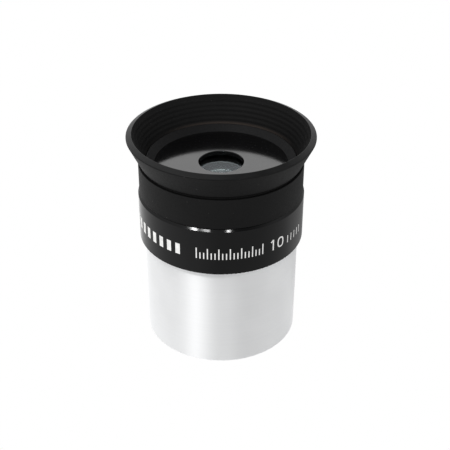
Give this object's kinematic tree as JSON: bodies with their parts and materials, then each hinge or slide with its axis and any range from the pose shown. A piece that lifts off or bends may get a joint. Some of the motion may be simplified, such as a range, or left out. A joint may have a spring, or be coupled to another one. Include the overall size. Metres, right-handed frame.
{
  "type": "telescope eyepiece",
  "caption": "Short cylindrical telescope eyepiece with a bright nosepiece barrel, black collar, flared rubber eyecup and stacked lenses.",
  "frame": {"origin": "centre of the nosepiece's lower rim, in the plane that it stands on", "axes": "+Z along the optical axis, towards the eye; -Y is the side with the marking"},
  "size_m": [0.0374, 0.0374, 0.045],
  "materials": {
    "nosepiece_metal": "fine-turned, bright satin",
    "housing_black": "gloss black anodised",
    "face_black": "semi-gloss black anodised",
    "inner_black": "matt black anodised",
    "coated_glass": "polished, anti-reflection coated",
    "eyecup_rubber": "matt moulded rubber",
    "marking_white": "matt white marking paint"
  },
  "bodies": {
    "nosepiece": {"nosepiece": "nosepiece_metal"},
    "stop": {"field_stop": "inner_black"},
    "housing": {"housing": "housing_black", "face_plate": "face_black", "lens_cell": "inner_black", "eye_flint_lens": "coated_glass", "eye_crown_lens": "coated_glass", "lens_spacer": "inner_black", "field_crown_lens": "coated_glass", "field_flint_lens": "coated_glass", "lens_retaining_ring": "inner_black"},
    "eyecup": {"eyecup_sleeve": "eyecup_rubber"},
    "eyecup_lip": {"eyecup_flare": "eyecup_rubber"}
  },
  "joints": [
    {"name": "housing_lift", "type": "slide", "parent": "nosepiece", "child": "stop", "axis": [0, 0, 1], "range_m": [0, 0.0045]},
    {"name": "housing_unscrew", "type": "hinge", "parent": "stop", "child": "housing", "pos_m": [0, 0, 0.02235], "axis": [0, 0, 1], "range_deg": [0, 2165]},
    {"name": "eyecup_pull", "type": "slide", "parent": "housing", "child": "eyecup", "axis": [0, 0, 1], "range_m": [0, 0.008]},
    {"name": "eyecup_fold", "type": "slide", "parent": "eyecup", "child": "eyecup_lip", "axis": [0, 0, -1], "range_m": [0, 0.0092], "deforming": ["eyecup_flare"]}
  ],
  "couplings": [
    {"joint": "housing_unscrew", "follows": "housing_lift", "rad_per_m": 8377.6}
  ]
}
